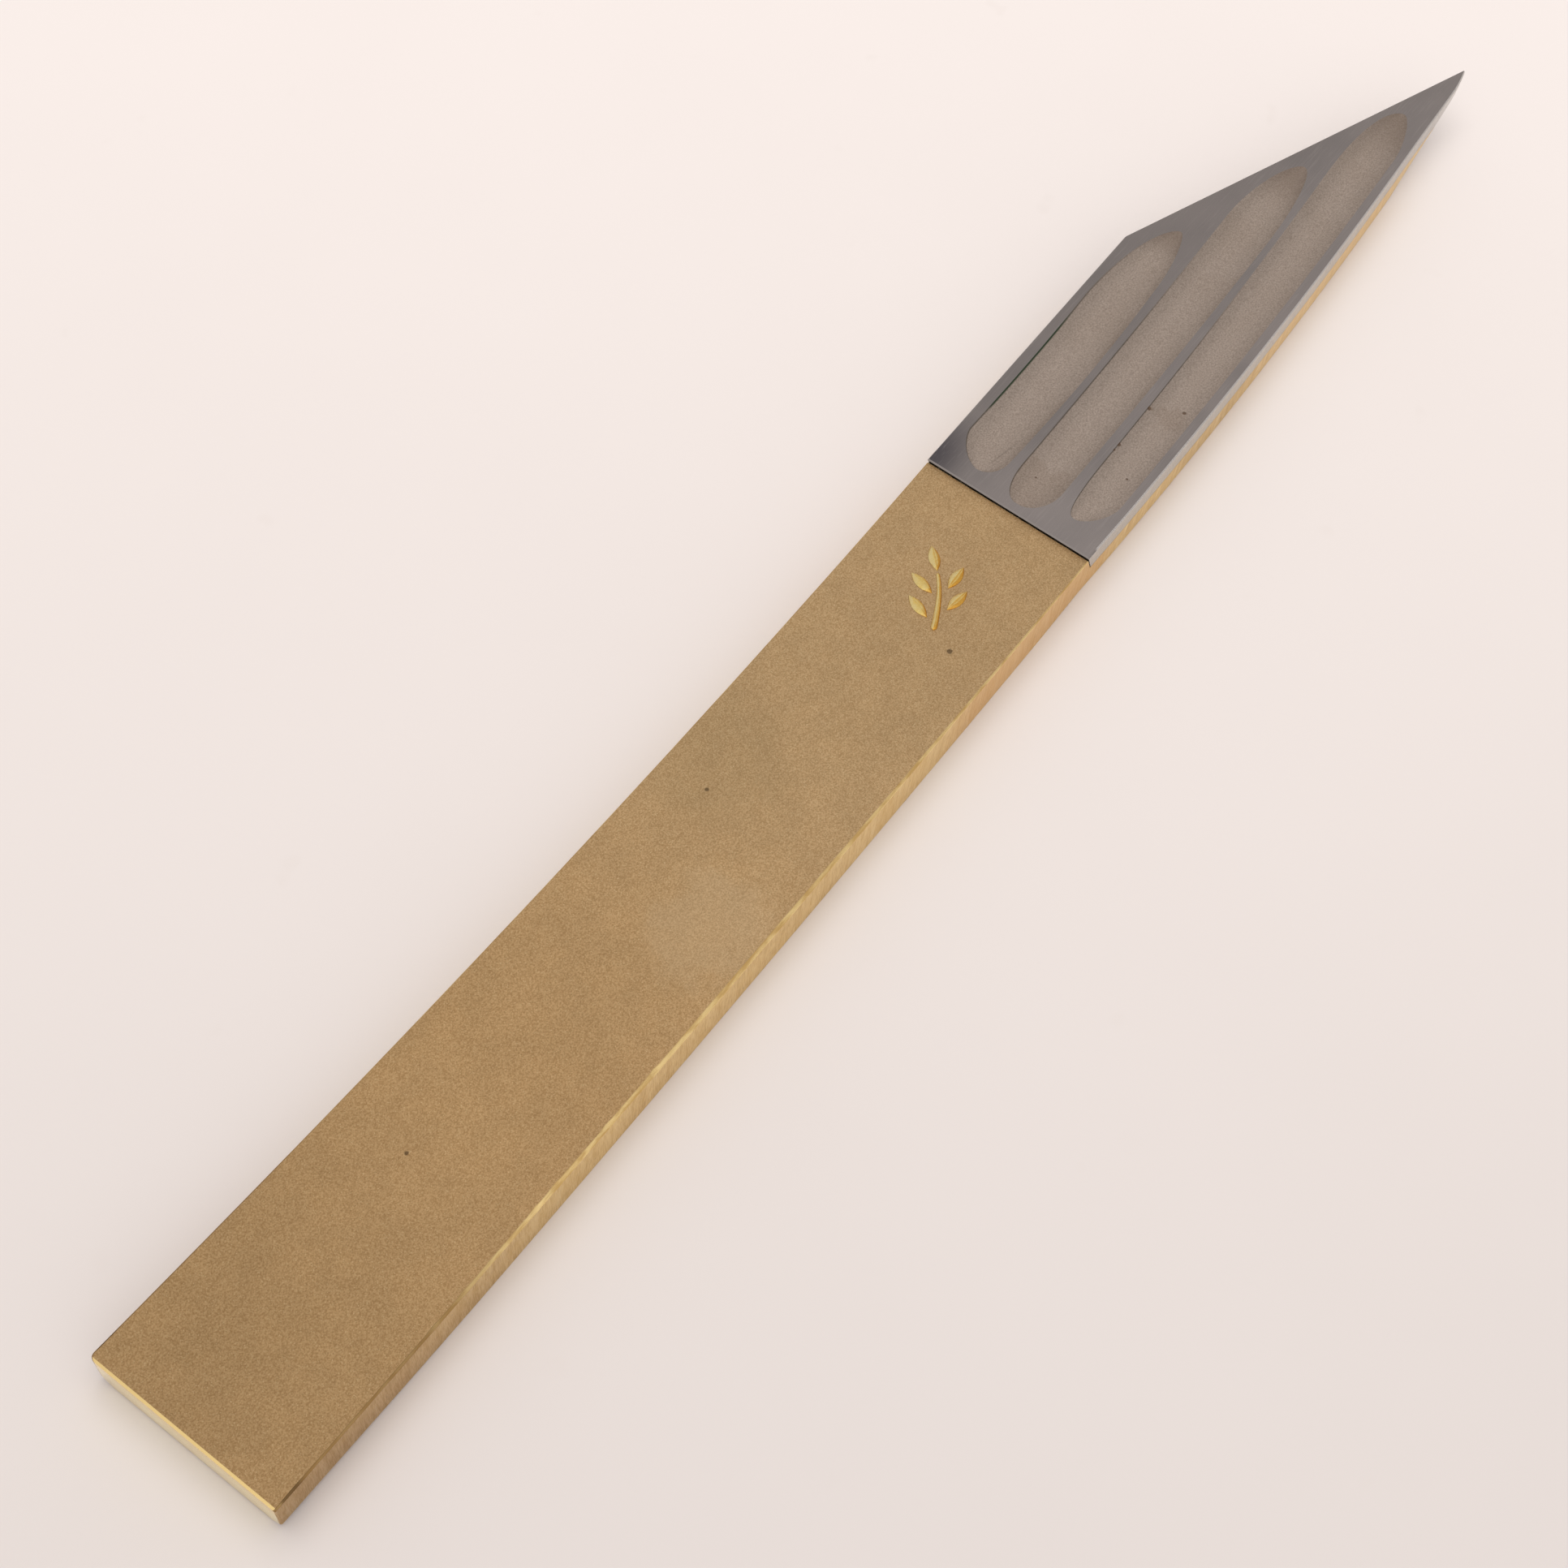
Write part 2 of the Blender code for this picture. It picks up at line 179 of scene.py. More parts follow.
def wander(x, scale, seed):
    """Smooth deterministic noise between about -1 and 1 along the knife."""
    return noise.noise(Vector((x / scale, seed, 0.37)))


def direction(azimuth, elevation):
    """A unit vector: azimuth from +X towards +Y, elevation from the horizon, in degrees."""
    a = math.radians(azimuth)
    e = math.radians(elevation)
    return Vector((math.cos(e) * math.cos(a), math.cos(e) * math.sin(a), math.sin(e)))


# ------------------------------------------------------------ plan curves


def left_edge(x):
    """Left side: the waist, then a straight flare to the heel."""
    if x <= JOINT_X:
        return WAIST_Y + WAIST_CURVATURE * (x - WAIST_X) ** 2
    joint_y = left_edge(JOINT_X)
    return mix_value(joint_y, HEEL[1], (x - JOINT_X) / (HEEL[0] - JOINT_X))


def right_edge(x):
    """Right side: the belly, a short straight, the arc, a straight, and the nose."""
    if x <= JOINT_X:
        return BELLY_Y + BELLY_CURVATURE * (x - BELLY_X) ** 2
    if x <= ARC_START[0]:
        t = (x - JOINT_X) / (ARC_START[0] - JOINT_X)
        return mix_value(right_edge(JOINT_X), ARC_START[1], t)
    if x <= ARC_END_X:
        return ARC_START[1] + ARC_CURVATURE * (x - ARC_START[0]) ** 2
    run = ARC_END_X - ARC_START[0]
    slope = NOSE_SLOPE_SHARE * 2 * ARC_CURVATURE * run
    arc_end_y = ARC_START[1] + ARC_CURVATURE * run ** 2
    y = arc_end_y + slope * (x - ARC_END_X)
    if x > NOSE_START_X:
        t = (x - NOSE_START_X) / (POINT[0] - NOSE_START_X)
        straight_y = arc_end_y + slope * (POINT[0] - ARC_END_X)
        y += (POINT[1] - straight_y) * t * t
    return y


def cutting_edge(x):
    """The straight skewed edge, from the heel to the point."""
    return mix_value(HEEL[1], POINT[1], (x - HEEL[0]) / (POINT[0] - HEEL[0]))


def blank_left_edge(x, past=1.5):
    """Left side of the blank, run on past the cutting edge for the bevel to trim."""
    return min(left_edge(x), cutting_edge(x) + past)


# ----------------------------------------------------------- mesh helpers


def new_object(name, data):
    item = bpy.data.objects.new(name, data)
    bpy.context.scene.collection.objects.link(item)
    return item


def object_from(shape, name, materials):
    """Turn a bmesh into an object, with its normals outward."""
    bmesh.ops.recalc_face_normals(shape, faces=shape.faces)
    mesh = bpy.data.meshes.new(name)
    shape.to_mesh(mesh)
    shape.free()
    for material in materials:
        mesh.materials.append(material)
    return new_object(name, mesh)


def loft(rings, finishes, end_finishes):
    """Skin a run of rings of equal count; finishes gives each strip's material."""
    shape = bmesh.new()
    rows = [[shape.verts.new(point) for point in ring] for ring in rings]
    count = len(rows[0])
    for index, (a, b) in enumerate(zip(rows, rows[1:])):
        for j in range(count):
            k = (j + 1) % count
            face = shape.faces.new((a[j], a[k], b[k], b[j]))
            face.material_index = finishes(index, j)
    for row, finish in zip((rows[0], rows[-1]), end_finishes):
        shape.faces.new(row).material_index = finish
    return shape


def cut_with(item, cutters):
    """Apply exact Booleans, carrying each cutter's own material on to its cut."""
    for cutter in cutters:
        modifier = item.modifiers.new("cut", "BOOLEAN")
        modifier.operation = "DIFFERENCE"
        modifier.solver = "EXACT"
        modifier.material_mode = "TRANSFER"
        modifier.object = cutter
    bpy.context.view_layer.update()
    graph = bpy.context.evaluated_depsgraph_get()
    mesh = bpy.data.meshes.new_from_object(item.evaluated_get(graph))
    mesh.name = item.name
    item.modifiers.clear()
    old = item.data
    item.data = mesh
    bpy.data.meshes.remove(old)
    for cutter in cutters:
        bpy.data.objects.remove(cutter, do_unlink=True)


def finish_shading(item, angle=12.0):
    """Smooth shading, broken at real edges and wherever the finish changes."""
    shape = bmesh.new()
    shape.from_mesh(item.data)
    for face in shape.faces:
        face.smooth = True
    for edge in shape.edges:
        if len(edge.link_faces) != 2:
            continue
        first, second = edge.link_faces
        changed = first.material_index != second.material_index
        edge.smooth = not changed and edge.calc_face_angle() < math.radians(angle)
    shape.to_mesh(item.data)
    shape.free()


def section(right, left, low, high, breaks):
    """A ring in y and z: four sides whose corners are broken by softened bevels.

    breaks gives the corner bevels' widths, from low right anticlockwise.
    """
    corners = [(right, low), (right, high), (left, high), (left, low)]
    ring = []
    for index, ((y, z), width) in enumerate(zip(corners, breaks)):
        before = corners[index - 1]
        after = corners[(index + 1) % 4]
        into = unit(before[0] - y, before[1] - z)
        out = unit(after[0] - y, after[1] - z)
        soft = min(EDGE_SOFTNESS, width * 0.4)
        start = (y + into[0] * width, z + into[1] * width)
        stop = (y + out[0] * width, z + out[1] * width)
        across = unit(stop[0] - start[0], stop[1] - start[1])
        ring.append((start[0] + into[0] * soft, start[1] + into[1] * soft))
        ring.append((start[0] + across[0] * soft, start[1] + across[1] * soft))
        ring.append((stop[0] - across[0] * soft, stop[1] - across[1] * soft))
        ring.append((stop[0] + out[0] * soft, stop[1] + out[1] * soft))
    return ring


def unit(y, z):
    """The same heading in y and z, with length 1."""
    length = math.hypot(y, z)
    return y / length, z / length


def bevel_plane():
    """A point on the bevel's plane and its normal, out of the knife."""
    heel = place(*HEEL, STEEL_TOP)
    point = place(*POINT, STEEL_TOP)
    along = (point - heel).normalized()
    outward = Vector((-along.y, along.x, 0.0))
    lean = outward * math.sin(BEVEL_ANGLE)
    return heel, lean - Vector((0.0, 0.0, math.cos(BEVEL_ANGLE)))


def trim_to_bevel(shape, finish):
    """Cut a solid off at the bevel's plane and close it with a ground face."""
    spot, normal = bevel_plane()
    everything = shape.verts[:] + shape.edges[:] + shape.faces[:]
    cut = bmesh.ops.bisect_plane(
        shape, geom=everything, dist=1e-8, plane_co=spot, plane_no=normal, clear_outer=True
    )
    rim = [part for part in cut["geom_cut"] if isinstance(part, bmesh.types.BMEdge)]
    filled = bmesh.ops.triangle_fill(shape, edges=rim, use_beauty=True, use_dissolve=True)
    for part in filled["geom"]:
        if isinstance(part, bmesh.types.BMFace):
            part.material_index = finish


# ---------------------------------------------------------- node helpers


class Nodes:
    """A material's node tree, with short ways to add and join nodes."""

    def __init__(self, name):
        self.material = bpy.data.materials.new(name)
        self.material.use_nodes = True
        self.tree = self.material.node_tree
        self.shader = self.tree.nodes["Principled BSDF"]

    def add(self, kind, inputs=None, **settings):
        node = self.tree.nodes.new("ShaderNode" + kind)
        for key, value in settings.items():
            setattr(node, key, value)
        for key, value in (inputs or {}).items():
            self.join(value, node.inputs[key])
        return node

    def join(self, value, socket):
        if isinstance(value, bpy.types.NodeSocket):
            self.tree.links.new(value, socket)
        else:
            socket.default_value = value

    def design_mm(self):
        """Design coordinates in millimetres, fixed to the object."""
        coords = self.add("TexCoord").outputs["Object"]
        scaled = self.add("VectorMath", {0: coords, "Scale": 1 / MM}, operation="SCALE")
        origin = (-TAIL_X, -AXIS_Y, 0.0)
        return self.add("VectorMath", {0: scaled.outputs[0], 1: origin}).outputs[0]

    def stretched(self, coords, scale, turn=(0.0, 0.0, 0.0)):
        node = self.add("Mapping", {"Vector": coords, "Rotation": turn, "Scale": scale})
        return node.outputs[0]

    def axis(self, coords, name):
        return self.add("SeparateXYZ", {0: coords}).outputs[name]

    def noise(self, coords, scale, detail=2.0, roughness=0.5, distortion=0.0):
        inputs = {
            "Vector": coords,
            "Scale": scale,
            "Detail": detail,
            "Roughness": roughness,
            "Distortion": distortion,
        }
        return self.add("TexNoise", inputs).outputs[0]

    def specks(self, coords, scale):
        """Distance to scattered points, for grain and pits."""
        return self.add("TexVoronoi", {"Vector": coords, "Scale": scale}).outputs["Distance"]

    def math(self, operation, a, b=0.0):
        return self.add("Math", {0: a, 1: b}, operation=operation).outputs[0]

    def times(self, a, b):
        return self.math("MULTIPLY", a, b)

    def band(self, value, low, high, to_low=0.0, to_high=1.0):
        """Map a value smoothly from one range to another, held at both ends."""
        inputs = {
            "Value": value,
            "From Min": low,
            "From Max": high,
            "To Min": to_low,
            "To Max": to_high,
        }
        node = self.add("MapRange", inputs, interpolation_type="SMOOTHSTEP")
        return node.outputs[0]

    def blend(self, factor, a, b, mode="MIX"):
        node = self.add("Mix", data_type="RGBA", blend_type=mode)
        for key, value in ((0, factor), (6, a), (7, b)):
            if isinstance(value, tuple) and len(value) == 3:
                value = (*value, 1.0)
            self.join(value, node.inputs[key])
        return node.outputs[2]

    def shaded(self, color, value):
        """A colour made darker or lighter by one factor."""
        grey = self.add("CombineColor", {0: value, 1: value, 2: value}).outputs[0]
        return self.blend(1.0, color, grey, "MULTIPLY")

    def spot(self, coords, centre, radius, ragged=0.35):
        """1 inside a ragged round patch around a design point, 0 outside."""
        rough = self.noise(coords, 1.6 / radius, 3.0)
        away = self.add("VectorMath", {0: coords, 1: (*centre, 0.0)}, operation="SUBTRACT")
        flat = self.add("VectorMath", {0: away.outputs[0], 1: (1, 1, 0)}, operation="MULTIPLY")
        length = self.add("VectorMath", {0: flat.outputs[0]}, operation="LENGTH")
        distance = self.math("DIVIDE", length.outputs["Value"], radius)
        shifted = self.math("ADD", distance, self.times(rough, ragged * 2))
        return self.band(shifted, 0.6 + ragged, 1.1 + ragged, 1.0, 0.0)

    def surface(self, color, roughness, metallic=1.0, bump=None, bump_mm=0.01):
        self.join(color, self.shader.inputs["Base Color"])
        self.join(roughness, self.shader.inputs["Roughness"])
        self.shader.inputs["Metallic"].default_value = metallic
        if bump is not None:
            inputs = {"Height": bump, "Distance": bump_mm * MM, "Strength": 1.0}
            normal = self.add("Bump", inputs).outputs[0]
            self.join(normal, self.shader.inputs["Normal"])
        return self.material


# -------------------------------------------------------------- materials


def blasted_brass():
    """Fine blasted brass with a sandy grain and soft, cloudy darkening."""
    n = Nodes("brass_blasted")
    at = n.design_mm()
    grain = n.noise(at, 7.5, 3.0, 0.65)
    specks = n.band(n.specks(at, 4.6), 0.06, 0.26, 1.0, 0.0)
    pits = n.band(n.specks(n.stretched(at, (0.9, 1.1, 1.0)), 1.7), 0.03, 0.13, 1.0, 0.0)
    clouds = n.noise(at, 0.055, 3.0, 0.55)
    patches = n.noise(at, 0.35, 3.0, 0.6)
    color = n.blend(n.band(grain, 0.3, 0.7), (0.585, 0.395, 0.195), (0.82, 0.60, 0.335))
    color = n.blend(n.times(specks, 0.7), color, (0.98, 0.83, 0.53))
    color = n.blend(n.times(pits, 0.35), color, (0.36, 0.235, 0.11))
    mottle_and_painted_reflection = n.band(clouds, 0.3, 0.72, 0.96, 1.04)
    color = n.shaded(color, mottle_and_painted_reflection)
    tint = n.band(patches, 0.3, 0.7, 0.965, 1.035)
    color = n.shaded(color, tint)
    x = n.axis(at, "X")
    # Darker towards the tail: partly painted shade, partly the brass's own tone.
    tail = n.band(x, 0.0, 48.0, 0.87, 1.0)
    color = n.shaded(color, tail)
    tarnish = n.band(x, 35.0, 78.0, 1.0, 0.0)
    tarnished = n.blend(1.0, color, (0.97, 0.92, 0.85), "MULTIPLY")
    color = n.blend(tarnish, color, tarnished)
    pale = n.times(n.spot(at, (56.0, -4.8), 5.5, 0.7), 0.2)
    color = n.blend(pale, color, (0.86, 0.70, 0.46))
    for centre, radius in (((66.0, 3.4), 0.22), ((26.0, 1.6), 0.2), ((90.5, -4.6), 0.3)):
        mark = n.times(n.spot(at, centre, radius), 0.7)
        color = n.blend(mark, color, (0.10, 0.06, 0.03))
    olive = n.spot(at, (69.0, 5.0), 7.0, 0.6)
    color = n.blend(n.times(olive, 0.12), color, (0.40, 0.31, 0.16))
    rough = n.band(grain, 0.3, 0.7, 0.62, 0.5)
    height = n.math("ADD", grain, n.times(specks, 0.4))
    return n.surface(color, rough, bump=height, bump_mm=0.02)


def side_marks(n, at, slant):
    """Fine slanting file and stone marks on a side wall."""
    fine = n.noise(n.stretched(at, (9.0, 9.0, 0.7), (0.0, slant, 0.0)), 1.0, 3.0, 0.7)
    coarse = n.noise(n.stretched(at, (1.6, 1.6, 0.15), (0.0, slant, 0.0)), 1.0, 2.0)
    return n.math("ADD", n.times(fine, 0.7), n.times(coarse, 0.3))


def brushed_brass():
    """Side walls: stoned brass, warmer and yellower in places, with slanting marks."""
    n = Nodes("brass_brushed")
    at = n.design_mm()
    x = n.axis(at, "X")
    marks = side_marks(n, at, math.radians(38))
    blotches = n.noise(n.stretched(at, (0.16, 0.5, 0.5)), 1.0, 3.0, 0.6)
    color = n.blend(n.band(blotches, 0.3, 0.7), (0.60, 0.395, 0.13), (0.71, 0.495, 0.175))
    color = n.blend(n.band(marks, 0.35, 0.68), color, (0.86, 0.65, 0.29))
    warm = n.times(n.band(x, 82.0, 90.0), n.band(x, 108.0, 113.0, 1.0, 0.0))
    color = n.blend(n.times(warm, 0.5), color, (0.70, 0.40, 0.13))
    yellow = n.band(x, 133.0, 146.0, 0.0, 0.6)
    color = n.blend(yellow, color, (0.82, 0.60, 0.30))
    grained = n.noise(n.stretched(at, (2.6, 2.6, 0.5), (0.0, math.radians(30), 0.0)), 1.0, 3.0)
    streak = n.times(n.band(grained, 0.55, 0.7), n.band(x, 106.0, 112.0, 0.0, 0.6))
    color = n.blend(streak, color, (0.95, 0.76, 0.40))
    # Darker towards the tail.
    darkening_and_painted_reflection = n.band(x, 2.0, 42.0, 0.66, 1.0)
    color = n.shaded(color, darkening_and_painted_reflection)
    browned = n.blend(1.0, color, (0.98, 0.86, 0.76), "MULTIPLY")
    color = n.blend(n.band(x, 6.0, 34.0, 1.0, 0.0), color, browned)
    under_steel = n.times(n.band(x, 120.0, 127.0), n.band(x, 133.0, 139.0, 0.16, 0.0))
    color = n.blend(under_steel, color, (0.30, 0.19, 0.09))
    pits = n.band(n.specks(at, 0.9), 0.03, 0.12, 1.0, 0.0)
    color = n.blend(n.times(pits, 0.4), color, (0.25, 0.15, 0.07))
    rough = n.band(marks, 0.3, 0.7, 0.42, 0.27)
    return n.surface(color, rough, bump=marks, bump_mm=0.004)


def edge_brass():
    """Broken edges, rubbed bright by use."""
    n = Nodes("brass_edge")
    at = n.design_mm()
    wear = n.noise(n.stretched(at, (0.5, 2.0, 2.0)), 1.0, 4.0, 0.6)
    x = n.axis(at, "X")
    color = n.blend(n.band(wear, 0.35, 0.65), (0.66, 0.44, 0.17), (0.92, 0.70, 0.33))
    left = n.band(n.axis(at, "Y"), -1.0, 1.0, 0.0, 0.55)
    color = n.blend(left, color, (0.42, 0.27, 0.13))
    # Darker near the tail.
    darker_near_tail = n.band(x, 14.0, 30.0, 0.8, 0.0)
    color = n.blend(darker_near_tail, color, (0.26, 0.15, 0.06))
    pit = n.times(n.band(x, 0.5, 1.0), n.band(x, 2.2, 3.4, 0.7, 0.0))
    color = n.blend(pit, color, (0.11, 0.06, 0.025))
    rough = n.band(wear, 0.35, 0.65, 0.4, 0.2)
    return n.surface(color, rough, bump=wear, bump_mm=0.006)


def polished_brass():
    """The tail's end face, nearly polished."""
    n = Nodes("brass_polished")
    at = n.design_mm()
    marks = n.noise(n.stretched(at, (1.0, 0.4, 9.0)), 1.0, 3.0, 0.6)
    cloud = n.noise(at, 0.4, 2.0)
    color = n.blend(n.band(cloud, 0.3, 0.7), (0.96, 0.815, 0.47), (1.0, 0.905, 0.555))
    # Painted reflection: the end face is painted a deeper gold towards its top.
    golden_painted_reflection = n.band(n.axis(at, "Z"), 3.0, 4.4, 0.0, 1.0)
    color = n.blend(golden_painted_reflection, color, (0.98, 0.745, 0.33))
    rough = n.band(marks, 0.3, 0.7, 0.24, 0.14)
    return n.surface(color, rough, bump=marks, bump_mm=0.0008)


def satin_steel():
    """The flat of the blade: satin steel with long polishing lines, and painted reflections:
    lighter to the right and at the rear, dark blue-grey in the left rear corner.
    """
    n = Nodes("steel_flat")
    at = n.design_mm()
    lines = n.noise(n.stretched(at, (0.25, 7.0, 1.0), (0, 0, math.radians(4))), 1.0, 3.0, 0.65)
    cloud = n.noise(at, 0.12, 3.0, 0.55)
    color = n.blend(n.band(cloud, 0.3, 0.7), (0.315, 0.292, 0.285), (0.36, 0.33, 0.32))
    color = n.blend(n.times(n.band(lines, 0.5, 0.75), 0.35), color, (0.45, 0.42, 0.405))
    # Painted reflection: the flat is painted lighter to the right and towards the rear.
    mottle_and_painted_reflection = n.band(n.axis(at, "Y"), -6.0, 6.0, 1.07, 0.95)
    color = n.shaded(color, mottle_and_painted_reflection)
    rear = n.band(n.axis(at, "X"), 108.0, 118.0, 1.1, 1.0)
    color = n.shaded(color, rear)
    # Painted reflection: a dark blue-grey patch is painted in the left rear corner, and the
    # scratches show only inside it.
    squeezed = n.stretched(at, (0.55, 1.0, 1.0))
    middle = (107.0 * 0.55, 9.1, STEEL_TOP)
    corner = n.add("VectorMath", {0: squeezed, 1: middle}, operation="DISTANCE")
    darkening_and_painted_reflection = n.band(corner.outputs["Value"], 0.3, 4.2, 1.0, 0.0)
    color = n.blend(n.times(darkening_and_painted_reflection, 0.85), color, (0.10, 0.095, 0.11))
    scratches = n.noise(n.stretched(at, (0.6, 14.0, 1.0), (0, 0, math.radians(-52))), 1.0, 2.0)
    scratch = n.times(n.band(scratches, 0.6, 0.7), n.times(darkening_and_painted_reflection, 0.5))
    color = n.blend(scratch, color, (0.42, 0.40, 0.40))
    rough = n.band(lines, 0.3, 0.7, 0.2, 0.13)
    return n.surface(color, rough, bump=lines, bump_mm=0.0006)


def ground_steel():
    """Side wall and broken edges of the steel: bright, finely stoned."""
    n = Nodes("steel_side")
    at = n.design_mm()
    marks = side_marks(n, at, math.radians(80))
    color = n.blend(n.band(marks, 0.35, 0.65), (0.47, 0.45, 0.425), (0.54, 0.52, 0.49))
    # Painted highlight: the top rim of the sides is painted pale, and near the joint it is
    # painted dark instead.
    rim = n.band(n.axis(at, "Z"), STEEL_TOP - 0.16, STEEL_TOP - 0.1)
    dim = n.band(n.axis(at, "X"), JOINT_X + 1.6, JOINT_X + 1.1)
    color = n.blend(rim, color, n.blend(dim, (0.66, 0.64, 0.62), (0.34, 0.315, 0.305)))
    rough = n.band(marks, 0.3, 0.7, 0.3, 0.22)
    return n.surface(color, rough, bump=marks, bump_mm=0.0008)


def hollow_steel():
    """Hollow grinds: sandy matte steel, browner at the front, with rust marks, and painted shade
    that makes the middle lighter and the rims darker and browner.
    """
    n = Nodes("steel_hollow")
    at = n.design_mm()
    at_x = n.axis(at, "X")
    hollow = n.add("UVMap", uv_map=HOLLOW_MAP).outputs[0]
    side = n.axis(hollow, "X")
    run = n.axis(hollow, "Y")
    grain = n.noise(at, 6.5, 3.0, 0.7)
    specks = n.band(n.specks(at, 4.0), 0.04, 0.22, 1.0, 0.0)
    clouds = n.noise(at, 0.16, 3.0, 0.6)
    color = n.blend(n.band(grain, 0.3, 0.7), (0.43, 0.365, 0.315), (0.59, 0.51, 0.445))
    color = n.blend(n.times(specks, 0.5), color, (0.80, 0.74, 0.69))
    brown = n.times(n.band(clouds, 0.35, 0.7), n.band(run, 0.1, 0.95, 0.15, 0.6))
    color = n.blend(n.times(brown, 0.35), color, (0.40, 0.32, 0.25))
    # Painted shade: each hollow is lighter in the middle, darker towards the rims, and darker
    # and browner along its right rim.
    centre_light = n.band(n.math("ABSOLUTE", side), 0.15, 0.95, 1.1, 0.97)
    color = n.shaded(color, centre_light)
    left_shade = n.band(side, 0.2, 0.9, 1.0, 0.95)
    color = n.shaded(color, left_shade)
    right_rim_painted_shade = n.times(n.band(side, -0.7, -1.0), n.band(clouds, 0.3, 0.65, 0.05, 0.4))
    quieter = n.band(n.axis(at, "Y"), -4.0, -2.0, 0.35, 1.0)
    color = n.blend(n.times(right_rim_painted_shade, quieter), color, (0.30, 0.245, 0.20))
    front_band = n.times(n.band(run, 0.86, 0.985), 0.55)
    color = n.blend(front_band, color, (0.30, 0.235, 0.19))
    # Painted shade: a thin dark line along the left rims, as far as x 150.
    outline = n.times(n.band(side, 0.93, 0.97), n.band(at_x, 150.0, 126.0))
    color = n.blend(n.times(outline, 0.75), color, (0.10, 0.09, 0.075))
    at_y = n.axis(at, "Y")
    ridge_y = n.math("SUBTRACT", at_y, n.band(at_x, 109.0, 117.5, 4.25, 3.1))
    ridge = n.band(n.math("ABSOLUTE", ridge_y), 0.02, 0.14, 0.3, 0.0)
    ridge_reach = n.times(n.band(at_x, 109.8, 111.0), n.band(at_x, 112.0, 114.8, 1.0, 0.0))
    color = n.blend(n.times(ridge, ridge_reach), color, (0.20, 0.17, 0.14))
    rust = (
        ((119.3, -3.8), 0.3),
        ((124.8, -3.75), 0.24),
        ((118.5, -3.85), 0.16),
        ((111.3, 0.1), 0.13),
        ((116.5, -6.6), 0.15),
        ((126.6, -6.6), 0.22),
    )
    for centre, radius in rust:
        mark = n.times(n.spot(at, centre, radius), 0.7)
        color = n.blend(mark, color, (0.13, 0.07, 0.035))
    stains = (((125.3, -6.1), 1.6, 0.14), ((124.9, -3.9), 0.28, 0.3), ((110.5, -0.3), 3.6, 0.16))
    for centre, radius, strength in stains:
        stain = n.times(n.spot(at, centre, radius, 0.9), strength)
        color = n.blend(stain, color, (0.26, 0.17, 0.10))
    verdigris = n.times(n.band(side, 0.90, 0.97), n.band(n.axis(at, "Y"), 6.9, 7.1))
    reach = n.times(n.band(at_x, 114.5, 116.0), n.band(at_x, 131.0, 127.0))
    color = n.blend(n.times(verdigris, reach), color, (0.055, 0.085, 0.05))
    rough = n.band(grain, 0.3, 0.7, 0.66, 0.5)
    height = n.math("ADD", grain, n.times(specks, 0.4))
    return n.surface(color, rough, bump=height, bump_mm=0.022)


def solder_metal():
    """Tarnished solder with pale beads."""
    n = Nodes("solder_line")
    at = n.design_mm()
    lumps = n.noise(at, 2.5, 3.0, 0.6)
    color = n.blend(n.band(lumps, 0.45, 0.7), (0.10, 0.085, 0.055), (0.36, 0.33, 0.25))
    rough = n.band(lumps, 0.4, 0.7, 0.6, 0.4)
    return n.surface(color, rough, bump=lumps, bump_mm=0.03)


def gold_leaf():
    """Gold laid into chisel cuts, rippled by the tool."""
    n = Nodes("gold_inlay")
    at = n.design_mm()
    ripple = n.noise(at, 5.0, 3.0, 0.65, 0.6)
    tone = n.noise(at, 1.6, 2.0)
    facing = n.add("TexCoord").outputs["Normal"]
    color = n.blend(n.band(tone, 0.3, 0.7), (1.0, 0.74, 0.23), (1.0, 0.82, 0.34))
    # Painted light: faces turned towards +y are painted pale cream as a painted highlight, and
    # faces turned towards -y dark orange as painted shade.
    color = n.blend(n.band(n.axis(facing, "Y"), 0.0, 0.35, 0.0, 0.7), color, (1.0, 0.86, 0.45))
    shaded = n.band(n.axis(facing, "Y"), 0.0, -0.4, 0.0, 0.9)
    color = n.blend(shaded, color, (0.78, 0.41, 0.06))
    rough = n.band(ripple, 0.3, 0.7, 0.45, 0.25)
    return n.surface(color, rough, bump=ripple, bump_mm=0.05)


def table_finish():
    """Matte off-white table top with the faintest mottling."""
    n = Nodes("table_top")
    coords = n.add("TexCoord").outputs["Object"]
    mottling = n.noise(coords, 14.0, 4.0, 0.6)
    color = n.blend(n.band(mottling, 0.3, 0.7), (0.805, 0.762, 0.745), (0.817, 0.774, 0.757))
    # Painted light: the table is painted paler towards the far side and darker towards the near
    # side.
    span = n.add("VectorMath", {0: coords, 1: direction(39.0, 0.0)}, operation="DOT_PRODUCT")
    painted_light_falloff = n.band(span.outputs["Value"], -0.16, 0.16, 0.905, 1.15)
    color = n.shaded(color, painted_light_falloff)
    fleck = n.band(n.noise(coords, 160.0, 2.0), 0.70, 0.78, 0.0, 0.12)
    color = n.blend(fleck, color, (0.74, 0.68, 0.64))
    return n.surface(color, 0.75, metallic=0.0, bump=mottling, bump_mm=0.05)


# ------------------------------------------------------------- brass body

BLASTED, BRUSHED, EDGE, POLISHED = range(4)
# The strips of a section ring: three for each broken corner, one for each side.
SECTION_FINISHES = (
    EDGE, EDGE, EDGE, BRUSHED,
    EDGE, EDGE, EDGE, BLASTED,
    EDGE, EDGE, EDGE, BRUSHED,
    EDGE, EDGE, EDGE, BRUSHED,
)
TOP_STRIP = SECTION_FINISHES.index(BLASTED)


